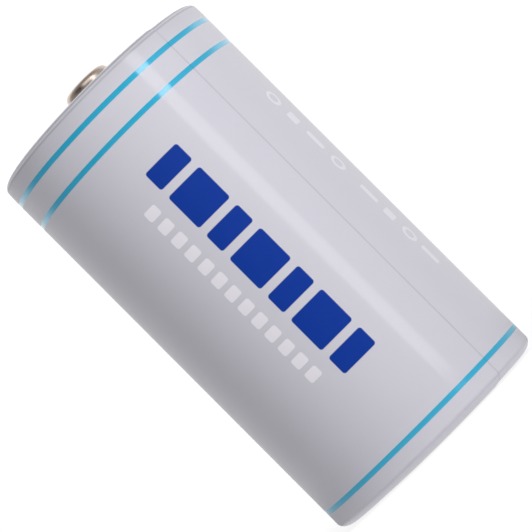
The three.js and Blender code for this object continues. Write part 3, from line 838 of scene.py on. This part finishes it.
@piece("positive_terminal", "nickel_plated_steel", TERMINAL_NICKEL, smooth_angle=40, name="terminal_hat")
def terminal(foot, top, _):
    """Drawn cup with a flat flange and a rounded shoulder."""
    sheet, outer, flange = 0.3, 2.7, 4.0
    profile = [(0, top - sheet)] + arc((outer - 0.8, top - 0.8), 0.5, 0.5, 90, 0, 5)
    profile += [(outer - sheet, foot), (flange, foot), (flange, foot + sheet)]
    profile += [(outer, foot + sheet)]
    profile += arc((outer - 0.75, top - 0.75), 0.75, 0.75, 0, 90, 10) + [(0, top)]
    return lathe(profile, 128, 0.08, 3)


place_piece("insulating_washer", "fish_paper", ring_of("insulating_washer", 9.4), PAPER)


@piece("end_cap", "white_plastic", CAP_WHITE)
def end_cap(under, hub, rim):
    """White cap with a raised hub, a shallow moulded step and three countersunk gas vents."""
    face = hub - 0.3
    step = face - 0.12
    rim_top = extent("outer_can")[1] - 0.64
    bore, recess = 2.75, under + 0.42  # room for the terminal's wall and its flange
    profile = [(4.2, under), (rim, under), (rim, rim_top), (10.9, rim_top), (10.8, face)]
    profile += [(9.2, face), (9.1, step), (4.95, step), (4.5, face), (4.2, hub)]
    profile += [(bore, hub), (bore, recess), (4.2, recess)]
    hole, sink = 0.55, 1.05
    vent = [(0, under - 1), (hole, under - 1), (hole, face - 0.4), (sink, face + 0.1)]
    vent += [(0, face + 0.1)]
    vents = [sharp_lathe(vent, x, y) for x, y in round_places(3, 6.9)]
    return Build(lathe(profile, 144, 0.09, 4)).cut(*vents)


@piece("end_cap_gasket", "nylon_seal", NYLON)
def end_cap_seal(low, top, outer):
    """L-shaped ring: a wall with a lip turned in at the top."""
    inner, lip, flap = 12.22, 11.1, 0.26
    profile = [(inner, low), (outer, low), (outer, top - 0.33), (outer - 0.45, top)]
    profile += [(lip, top), (lip, top - flap), (inner, top - flap)]
    return lathe(profile, 120, 0.1, 4)


@piece("ground_ring", "nickel_strip", STRIP_NICKEL)
def ground_ring(low, top, outer):
    """Flat ring with a skirt, slit into spring fingers."""
    sheet, inner, fingers = 0.2, 10.3, 36
    profile = [(inner, top - sheet), (outer - sheet, top - sheet), (outer - sheet, low)]
    profile += [(outer, low), (outer, top), (inner, top)]
    slit = slab((outer - 0.5, -0.12, low - 0.5), (outer + 0.5, 0.12, top - 0.45), 0.04)
    return Build(lathe(profile, 144, 0.12, 4)).cut(*copies_round(slit, fingers))


@piece("cell_carrier", "black_plastic", CARRIER_BLACK)
def carrier(low, top, outer):
    """Tube with a chamfered foot and a slightly narrower neck."""
    inner, neck = 11.2, outer - 0.25
    profile = [(inner, low), (outer - 0.75, low), (outer, low + 0.7), (outer, top - 1.65)]
    profile += [(neck, top - 1.45), (neck, top), (inner, top)]
    return lathe(profile, 144, 0.15, 4)


def pressed_foam(angle, r, z):
    """Foam that has been pressed a little unevenly."""
    swell = 0.03 * math.sin(5 * angle + r) + 0.02 * math.sin(13 * angle - 2 * r)
    return r - 0.06 + swell, z


foam = ring_of("bottom_foam_pad", 5.26, 0.2, 144, pressed_foam)
place_piece("bottom_foam_pad", "foam", foam, FOAM)


def folded_strip(node, turns_back):
    """A nickel strip: out along its lower run, up, and back along its upper run."""
    (x0, _, low), (x1, _, high) = limits(node)
    sheet, width = 0.15, 4.0
    t = sheet / 2
    path = [(x0, low + t), (x1 - t, low + t), (x1 - t, high - t), (turns_back, high - t)]
    return ribbon(path, sheet, width, 0.3)


for node, turns_back in (("negative_strip", -4.0), ("positive_strip", 5.6)):
    place_piece(node, "nickel_strip", folded_strip(node, turns_back), STRIP_NICKEL)


# ---- Regulator board ----


@piece("regulator_board", "circuit_board", BOARD)
def board(low, high, outer):
    """Round board with two small holes beside the ground ring."""
    holes = [drill(x, 5.4, 0.6, low - 1, high + 1) for x in (-8.6, 8.6)]
    return Build(flat_ring(0, outer, low, high)).cut(*holes)


INDUCTOR = Matrix.Translation((middle("inductor_core")[0].x, middle("inductor_core")[0].y, 0))


@piece("inductor_core", "ferrite", FERRITE)
def inductor_core(low, top, _):
    """Drum with a flange at each end."""
    flange, outer, hub = 0.55, middle("inductor_core")[1].x / 2, 1.0
    profile = [(0, low), (outer, low), (outer, low + flange), (hub, low + flange)]
    profile += [(hub, top - flange), (outer, top - flange), (outer, top), (0, top)]
    return Build().add(lathe(profile, 48, 0.1, 3), 0, INDUCTOR)


@piece("inductor_winding", "copper_winding", COPPER, smooth_angle=60)
def inductor_winding(low, top, _):
    """Round wire wound up and down the drum, in layers."""
    wire, steps, layers, turns = 0.115, 20, 4, 6  # wire is its radius, and steps are in one turn
    start = low + wire
    pitch = (top - wire - start) / turns
    path, normals = [], []
    for layer in range(layers):
        radius = 1.1 + wire + layer * 2 * wire * 1.02
        for k in range(turns * steps):
            angle = 2 * math.pi * k / steps
            climb = pitch * k / steps if layer % 2 == 0 else pitch * (turns - k / steps)
            path.append(Vector(at_angle(angle, radius, start + climb)))
            normals.append(Vector(at_angle(angle, 1, 0)))
    eighth = math.pi / 4
    section = [(wire * math.cos(k * eighth), wire * math.sin(k * eighth)) for k in range(8)]
    return Build().add(sweep(path, section, normals), 0, INDUCTOR)


@piece("inductor_shield", "ferrite", FERRITE)
def inductor_shield(low, top, _):
    """Square block with cut corners and a round bore."""
    half, chamfer, bore = middle("inductor_shield")[1].x / 2, 0.7, 2.3

    def squared(angle, r, z):
        c, s = abs(math.cos(angle)), abs(math.sin(angle))
        reach = min(half / max(c, s), (2 * half - chamfer) / (c + s))
        return (r if r < bore + 0.3 else r - half + reach), z

    shield = flat_ring(bore, half, low, top, steps=128, shape=squared)
    return Build().add(shield, 0, INDUCTOR)


for node in ("inductor_terminal_left", "inductor_terminal_right"):
    place_piece(node, "nickel_strip", slab(*limits(node)), TIN)


def package(node, leads, lead_width, wings=0.0):
    """A moulded chip that hangs from the board. leads is how many are on each long side; wings is
    how far they reach out, or 0 for flat pads under the body's edge."""
    centre, size = middle(node)
    low, top, _ = extent(node)
    length, width = size.x, size.y - 2 * wings
    body = slab_at(centre.x, centre.y, low, top - 0.06, length - 0.02, width - 0.02, 0.07)
    build = Build(body)
    pitch = (length - 0.4) / leads
    for k in range(leads):
        x = centre.x + (k - (leads - 1) / 2) * pitch
        for side in (-1, 1):
            if wings:
                edge = centre.y + side * (width / 2 - 0.05)
                foot = centre.y + side * size.y / 2
                bend = edge + side * 0.2
                path = [(edge, top - 0.45), (bend, top - 0.45)]
                path += [(bend + side * 0.05, top - 0.06), (foot, top - 0.06)]
                points, faces = ribbon(path, 0.11, lead_width, 0.08)
                build.add(([Vector((x + p.y, p.x, p.z)) for p in points], faces), 1)
            else:
                y = centre.y + side * (width / 2 - 0.2)
                build.add(slab_at(x, y, top - 0.14, top, lead_width, 0.4, 0.02), 1)
    dimple = [(0, low - 0.5), (0.17, low - 0.5), (0.17, low + 0.06), (0, low + 0.06)]
    corner_x, corner_y = centre.x - length / 2 + 0.42, centre.y - width / 2 + 0.42
    return build.cut(sharp_lathe(dimple, corner_x, corner_y, 20))


for node, *leads in (
    ("buck_converter_chip", 4, 0.3),
    ("protection_chip", 3, 0.4, 0.3),
    ("power_transistor", 4, 0.42, 0.35),
):
    place_piece(node, "chip_package", package(node, *leads), EPOXY, TIN)


def chip_part(node, cap, along="x", glazed=False):
    """A ceramic block with tinned ends, and a dark glaze on the face of a resistor."""
    low, high = limits(node)
    build = Build()
    axis = 0 if along == "x" else 1
    inset = Vector((0.03, 0.03, 0.03))
    start, end = low + inset, high - inset
    start[axis], end[axis] = low[axis] + 0.06, high[axis] - 0.06
    if glazed:
        glaze_start, glaze_end = start.copy(), end.copy()
        glaze_start[axis] += cap
        glaze_end[axis] -= cap
        glaze_start.z, glaze_end.z = low.z, start.z + 0.06
        build.add(slab(glaze_start, glaze_end, 0.03), 2)
        start.z += 0.03
    build.add(slab(start, end, 0.06), 0)
    for near, far in ((low[axis], low[axis] + cap), (high[axis] - cap, high[axis])):
        a, b = low.copy(), high.copy()
        a[axis], b[axis] = near, far
        build.add(slab(a, b, 0.09, 3), 1)
    return build


for node in ("input_capacitor_1", "input_capacitor_2", "output_capacitor_1", "output_capacitor_2"):
    place_piece(node, "ceramic_capacitor", chip_part(node, 0.5), CERAMIC, TIN)
for node, along in (("feedback_resistor_1", "x"), ("feedback_resistor_2", "x"), ("sense_resistor", "y")):
    place_piece(node, "chip_resistor", chip_part(node, 0.3, along, True), ALUMINA, TIN, GLAZE)


def slotted_disc(node, inner, slot_x, slot_width, slot_length):
    """A thin disc with a slot for a strip or tab to pass through."""
    low, high, _ = extent(node)
    slot = slab_at(slot_x, 0, low - 1, high + 1, slot_width, slot_length, 0.08)
    return Build(ring_of(node, inner, 0.04)).cut(slot)


fish_disc = slotted_disc("board_insulator", 0, 8.15, 1.1, 4.8)
place_piece("board_insulator", "fish_paper", fish_disc, PAPER)


# ---- Lithium-ion cell ----

INNER_TOP = extent("inner_cell_can")[1]
CAP_STACK_RADIUS = 10.1  # of the discs that are clamped under the inner cell's cap


def down(distance):
    """A height measured down from the top of this cell's can."""
    return INNER_TOP - distance


@piece("inner_cell_sleeve", "blue_sleeve", SLEEVE_BLUE)
def sleeve(low, top, outer):
    """Shrunk sleeve, turned in over both ends of the cell, with puckered lips."""
    sheet, lip, bend = 0.1, 9.3, 10.2
    inner = outer - sheet
    profile = [(lip, low), (bend, low), (outer, low + 0.7), (outer, down(0.4)), (10.5, top)]
    profile += [(lip, top), (lip, top - sheet), (10.45, top - sheet), (inner, down(0.44))]
    profile += [(inner, low + 0.76), (10.14, low + sheet), (lip, low + sheet)]

    def pucker(angle, r, z):
        reach = max(0.0, bend - r)
        return r + 0.05 * reach * math.sin(11 * angle) + 0.04 * reach * math.sin(23 * angle + 1), z

    return lathe(profile, 160, 0.25, 4, pucker)


@piece("inner_cell_can", "nickel_plated_steel", STEEL)
def inner_can(low, top, outer):
    """Deep-drawn can with a rolled groove and a crimped lip."""
    wall, lip, groove_z, depth = 0.25, 9.0, down(3.8), 1.1
    inner, floor_top = outer - wall, low + wall

    def groove(radius, half):
        points = []
        for k in range(9):
            t = k / 8 * 2 - 1
            inward = depth * (1 + math.cos(math.pi * t)) / 2
            points.append((radius - inward, groove_z + half * t))
        return points

    profile = [(0, low), (10.0, low), (outer, low + 0.75)]
    profile += groove(outer, 0.9)
    profile += [(outer, down(0.6)), (10.3, top), (lip, top)]
    profile += [(lip, down(wall)), (10.2, down(wall)), (inner, down(0.7))]
    profile += groove(inner, 1.0)[::-1]
    profile += [(inner, low + 0.85), (9.9, floor_top), (0, floor_top)]
    return lathe(profile, 144, 0.12, 3)


place_piece("inner_cell_washer", "fish_paper", ring_of("inner_cell_washer", 6.6), PAPER)


@piece("inner_cell_gasket", "nylon_seal", NYLON)
def inner_seal(low, top, outer):
    """Seal with flaps over and under the rim of the stacked discs."""
    flap, inner, lower_lip, upper_lip = 0.25, 10.24, 8.4, 9.1
    profile = [(lower_lip, low), (outer, low), (outer, down(0.75)), (10.15, top), (upper_lip, top)]
    profile += [(upper_lip, top - flap), (inner, top - flap)]
    profile += [(inner, low + flap), (lower_lip, low + flap)]
    return lathe(profile, 120, 0.09, 3)


@piece("inner_cell_cap", "nickel_plated_steel", STRIP_NICKEL)
def inner_cap(seat, top, _):
    """Pressed cap with three vents in its raised wall."""
    sheet, rim = 0.25, CAP_STACK_RADIUS
    profile = [(0, top - sheet), (4.2, top - sheet), (4.6, seat), (rim, seat)]
    profile += [(rim, seat + sheet), (4.85, seat + sheet), (4.5, top), (0, top)]
    vent = slab((-0.8, 3.6, seat + 0.43), (0.8, 5.4, seat + 1.03), 0.15)
    return Build(lathe(profile, 96, 0.14, 4)).cut(*copies_round(vent, 3))


place_piece("ptc_ring", "ptc_polymer", ring_of("ptc_ring", 6.8), PTC)


def burst_disc():
    """Thin disc that domes down to the breaker plate, with a groove where it tears."""
    rim = CAP_STACK_RADIUS
    profile = [(0, down(1.88)), (1.6, down(1.88)), (5.0, down(1.62)), (rim, down(1.62))]
    profile += [(rim, down(1.34)), (4.9, down(1.34)), (3.2, down(1.5)), (3.0, down(1.6))]
    profile += [(2.8, down(1.53)), (1.6, down(1.64)), (0, down(1.64))]
    return lathe(profile, 120, 0.08, 3)


place_piece("burst_disc", "aluminium_foil", burst_disc(), ALUMINIUM)
place_piece("breaker_insulator", "nylon_seal", ring_of("breaker_insulator", 6.6), NYLON)


@piece("breaker_plate", "aluminium_foil", ALUMINIUM)
def breaker_plate(low, boss, _):
    """Plate with a low boss in its middle and four vents round it."""
    face, rim = low + 0.3, CAP_STACK_RADIUS
    profile = [(0, low), (rim, low), (rim, face), (2.4, face), (1.5, boss), (0, boss)]
    holes = [drill(x, y, 0.7, low - 1, boss + 1) for x, y in round_places(4, 4.4)]
    return Build(lathe(profile, 96, 0.06, 3)).cut(*holes)


def tab(node):
    """A thin strip with one bend. The cathode's ends under the breaker plate, and the anode's
    starts on the can's floor."""
    (x0, _, low), (x1, _, high) = limits(node)
    t = 0.05
    path = [(x1 - t, low), (x1 - t, high - t), (x0, high - t)]
    if node == "anode_tab":
        path = [(x0, low + t), (x1 - t, low + t), (x1 - t, high)]
    return ribbon(path, 2 * t, 3.0, 0.15)


place_piece("cathode_tab", "aluminium_foil", tab("cathode_tab"), ALUMINIUM)
place_piece("anode_tab", "nickel_strip", tab("anode_tab"), STRIP_NICKEL)

upper_disc = slotted_disc("upper_insulator", 1.7, 5.65, 0.8, 3.8)
place_piece("upper_insulator", "separator_film", upper_disc, SEPARATOR)
place_piece("lower_insulator", "separator_film", ring_of("lower_insulator", 1.7, 0.04), SEPARATOR)


@piece("centre_pin", "nickel_plated_steel", STEEL)
def centre_pin(low, high, outer):
    """Tube with tapered ends."""
    bore, tip, taper = 1.2, outer - 0.15, 0.5
    profile = [(bore, low), (tip, low), (outer, low + taper)]
    profile += [(outer, high - taper), (tip, high), (bore, high)]
    return lathe(profile, 48, 0.05)


ROLL_START, ROLL_PITCH, ROLL_TURNS = 1.75, 0.6, 13.6
# the wound sheets, in this order outwards: node, place in the pitch, thickness, slot, finish
SHEETS = (
    ("separator_inner", 0.0, 0.05, "separator_film", SEPARATOR),
    ("anode_sheet", 0.07, 0.20, "anode_coating", ANODE),
    ("separator_outer", 0.29, 0.05, "separator_film", SEPARATOR),
    ("cathode_sheet", 0.36, 0.22, "cathode_coating", CATHODE),
)


def wound_sheet(node, offset, thickness):
    """A spiral ribbon that stands on Z. Its free edges wander a little, as wound film does."""
    low, high, _ = extent(node)
    steps = 48
    count = round(ROLL_TURNS * steps)
    points = []
    for i in range(count + 1):
        angle = 2 * math.pi * i / steps
        near = ROLL_START + ROLL_PITCH * i / steps + offset
        edge = 0.05 + 0.04 * math.sin(0.37 * angle) * math.sin(2.3 * angle)
        for radius, z in ((near, low), (near + thickness, low), (near + thickness, high), (near, high)):
            points.append(at_angle(angle, radius, z + edge if z == low else z - edge))
    ends = [(0, 1, 2, 3), tuple(count * 4 + k for k in range(4))]
    return points, joined(count + 1, 4) + ends


for node, offset, thickness, slot, finish in SHEETS:
    place_piece(node, slot, wound_sheet(node, offset, thickness), finish)


# ---- Light, floor and camera ----

AIM = Vector((-0.116, 0.0, 23.97)) * MM
WHITE = (1.0, 1.0, 1.0)
LIGHT_DISTANCE = 0.6
# name, azimuth, elevation, width, height, power in watts
SOFTBOXES = (
    ("key_strip", 44.1, 2, 0.137, 1.0, 1.21),
    ("side_near", 72, 4, 0.39, 1.0, 0.24),
    ("side_far", 110, 4, 0.44, 1.0, 0.25),
    ("back_left", -110, 4, 0.46, 1.0, 0.05),
    ("high_front", 12, 45, 0.9, 0.9, 3.95),
    ("shine", 20, 42, 0.6, 0.44, 0.6),
)
DIFFUSE_ONLY = "high_front"  # metal reflects the smaller, dimmer box beside it instead
AMBIENT, BACK_GLOW, BACKDROP = 0.235, 0.74, 1.05
DARK_SIDE, DARK_DEPTH = (-0.527, -0.628, 0.573), 0.85  # a dim patch of the room, high on the left
FLOOR_RADIUS, FADE_START, FADE_END = 200.0, 15.0, 160.0
FLOOR_GLOW = 0.19
RIM_GLOW, RIM_START, RIM_END = 0.64, 13.4, 14.6  # the floor is lit up close round the cell
FLOOR_SEEN = 0.8  # how bright the floor looks, apart from what it reflects


def softbox(name, azimuth, elevation, width, height, power):
    """An area light aimed at the cell. Azimuth 0 is the front, and 90 is +X."""
    data = bpy.data.lights.new(name, "AREA")
    data.shape, data.size, data.size_y = "RECTANGLE", width, height
    data.energy = power
    light = bpy.data.objects.new(name, data)
    a, e = math.radians(azimuth), math.radians(elevation)
    back = Vector(at_angle(a, math.cos(e), math.sin(e)))
    light.location = AIM + back * LIGHT_DISTANCE
    light.rotation_mode = "QUATERNION"
    light.rotation_quaternion = (-back).to_track_quat("-Z", "Y")
    light.visible_glossy = name != DIFFUSE_ONLY
    link(light)


for box in SOFTBOXES:
    softbox(*box)


def studio_world():
    """White to the eye all round. Its light is even and dim, brighter from behind the cell, and
    dimmer from one patch."""
    world = bpy.data.worlds.new("studio")
    bpy.context.scene.world = world
    world.use_nodes = True
    world.node_tree.nodes.clear()
    s = Nodes(world.node_tree)
    facing = s.node("ShaderNodeTexCoord").outputs["Generated"]
    behind = s.remap(s.split(facing)["Y"], 0.2, 0.75, AMBIENT, AMBIENT + BACK_GLOW)
    towards_patch = s.node("ShaderNodeVectorMath", {0: facing, 1: DARK_SIDE}, operation="DOT_PRODUCT")
    dim = s.remap(towards_patch.outputs["Value"], 0.84, 0.96, 1.0, 1.0 - DARK_DEPTH)
    light = s.node("ShaderNodeBackground", {"Color": WHITE, "Strength": s.times(behind, dim)})
    seen = s.node("ShaderNodeBackground", {"Color": WHITE, "Strength": BACKDROP})
    to_camera = s.node("ShaderNodeLightPath").outputs["Is Camera Ray"]
    both = {0: to_camera, 1: light.outputs[0], 2: seen.outputs[0]}
    mix = s.node("ShaderNodeMixShader", both)
    s.node("ShaderNodeOutputWorld", {"Surface": mix.outputs[0]})


studio_world()


def floor_material():
    """White that glows a little, and fades out away from the cell."""
    s = Shader("floor_white")
    x, y, _ = s.split(s.object_place())
    radius = s.length(x, y)
    s.set(base_color=s.mix(s.noise(60, 3, 0.5), (0.22, 0.22, 0.222), (0.25, 0.25, 0.25)))
    s.set(roughness=0.8, specular_ior_level=0.0)
    glow = s.remap(radius, RIM_START * MM, RIM_END * MM, RIM_GLOW, FLOOR_GLOW)
    to_camera = s.node("ShaderNodeLightPath").outputs["Is Camera Ray"]
    strength = s.remap(to_camera, 0.0, 1.0, glow, FLOOR_SEEN, smooth=False)
    s.set(emission_color=WHITE, emission_strength=strength)
    s.set(alpha=s.remap(radius, FADE_START * MM, FADE_END * MM, 1.0, 0.0))
    return s.material


def floor():
    """A pale round sheet under the cell, which fades into the white round it."""
    rings, spokes = 16, 96
    points = [(0, 0, 0)]
    for i in range(1, rings + 1):
        r = FLOOR_RADIUS * (i / rings) ** 2
        points += [at_angle(2 * math.pi * k / spokes, r, 0) for k in range(spokes)]
    faces = [(0, 1 + k, 1 + (k + 1) % spokes) for k in range(spokes)]
    faces += [tuple(1 + v for v in face) for face in joined(rings, spokes)]
    mesh = mesh_from(points, faces)
    mesh.materials.append(floor_material())
    made = bpy.data.objects.new("floor", mesh)
    link(made)


floor()


def camera():
    """Level with the cell's lower half, turned so that the cell's axis lies on the diagonal."""
    distance, tilt = 300.07 * MM, math.radians(2.07)
    forward = Vector((0, math.cos(tilt), math.sin(tilt)))
    upright = Vector((0, -math.sin(tilt), math.cos(tilt)))
    sideways = Vector((1, 0, 0))
    up = (upright + sideways).normalized()
    right = (sideways - upright).normalized()
    data = bpy.data.cameras.new("camera")
    data.sensor_width, data.lens = 36.0, 207.2
    data.clip_start, data.clip_end = 0.01, 10
    made = bpy.data.objects.new("camera", data)
    turn = Matrix((right, up, -forward)).transposed().to_4x4()
    made.matrix_world = Matrix.Translation(AIM - forward * distance) @ turn
    link(made)
    bpy.context.scene.camera = made


camera()
bpy.context.scene.view_settings.view_transform = "Standard"
